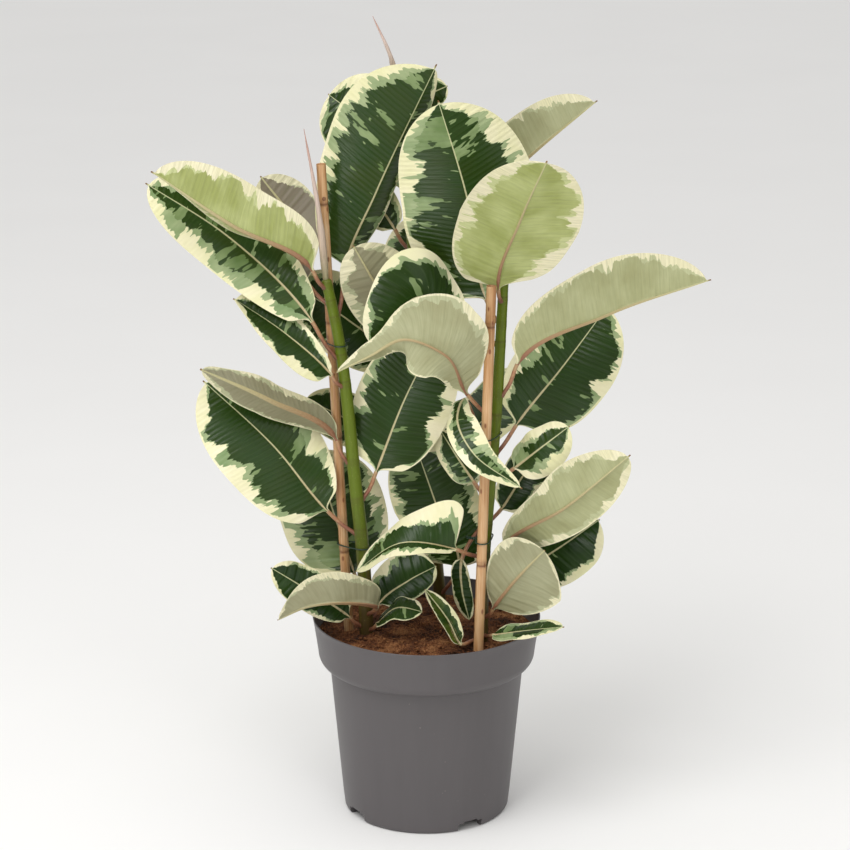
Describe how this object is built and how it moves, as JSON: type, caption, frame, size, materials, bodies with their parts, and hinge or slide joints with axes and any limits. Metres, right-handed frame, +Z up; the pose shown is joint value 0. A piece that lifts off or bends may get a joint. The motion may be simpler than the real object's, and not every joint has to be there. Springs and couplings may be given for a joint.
{
  "type": "potted rubber plant",
  "caption": "Upright variegated rubber plant in a round nursery pot, its woody stems tied to bamboo canes, standing on the pot's flat base.",
  "frame": {"origin": "middle of the pot's underside, on the surface it stands on", "axes": "+Z up along the pot's axis; -Y towards the front, the side seen in the picture; +X to the viewer's right"},
  "size_m": [0.577, 0.3237, 0.8477],
  "materials": {
    "leaf": "satin, dark green centre with cream margin",
    "stem_bark": "smooth green to brown bark",
    "bud_sheath": "matt, dry",
    "bamboo": "satin, dry cane",
    "tie_wire": "green plastic coated wire",
    "peat_soil": "rough, damp peat",
    "pot_plastic": "fine matt moulded"
  },
  "bodies": {
    "root": {"bud_back": "bud_sheath", "bud_left": "bud_sheath", "bud_right": "bud_sheath", "cane_left": "bamboo", "cane_right": "bamboo", "leaf_back_01": "leaf", "leaf_back_02": "leaf", "leaf_back_03": "leaf", "leaf_back_04": "leaf", "leaf_back_05": "leaf", "leaf_back_06": "leaf", "leaf_back_07": "leaf", "leaf_back_08": "leaf", "leaf_back_09": "leaf", "leaf_back_10": "leaf", "leaf_back_11": "leaf", "leaf_back_12": "leaf", "leaf_left_01": "leaf", "leaf_left_02": "leaf", "leaf_left_03": "leaf", "leaf_left_04": "leaf", "leaf_left_05": "leaf", "leaf_left_06": "leaf", "leaf_left_07": "leaf", "leaf_left_08": "leaf", "leaf_left_09": "leaf", "leaf_left_10": "leaf", "leaf_left_11": "leaf", "leaf_left_12": "leaf", "leaf_left_13": "leaf", "leaf_right_01": "leaf", "leaf_right_02": "leaf", "leaf_right_03": "leaf", "leaf_right_04": "leaf", "leaf_right_05": "leaf", "leaf_right_06": "leaf", "leaf_right_07": "leaf", "leaf_right_08": "leaf", "leaf_right_09": "leaf", "leaf_right_10": "leaf", "leaf_right_11": "leaf", "leaf_right_12": "leaf", "leaf_right_13": "leaf", "leaf_right_14": "leaf", "leaf_right_15": "leaf", "leaf_right_16": "leaf", "leaf_right_17": "leaf", "pot": "pot_plastic", "soil": "peat_soil", "stem_back": "stem_bark", "stem_left": "stem_bark", "stem_right": "stem_bark", "tie_left_lower": "tie_wire", "tie_left_upper": "tie_wire", "tie_right_lower": "tie_wire", "tie_right_upper": "tie_wire"}
  },
  "joints": []
}
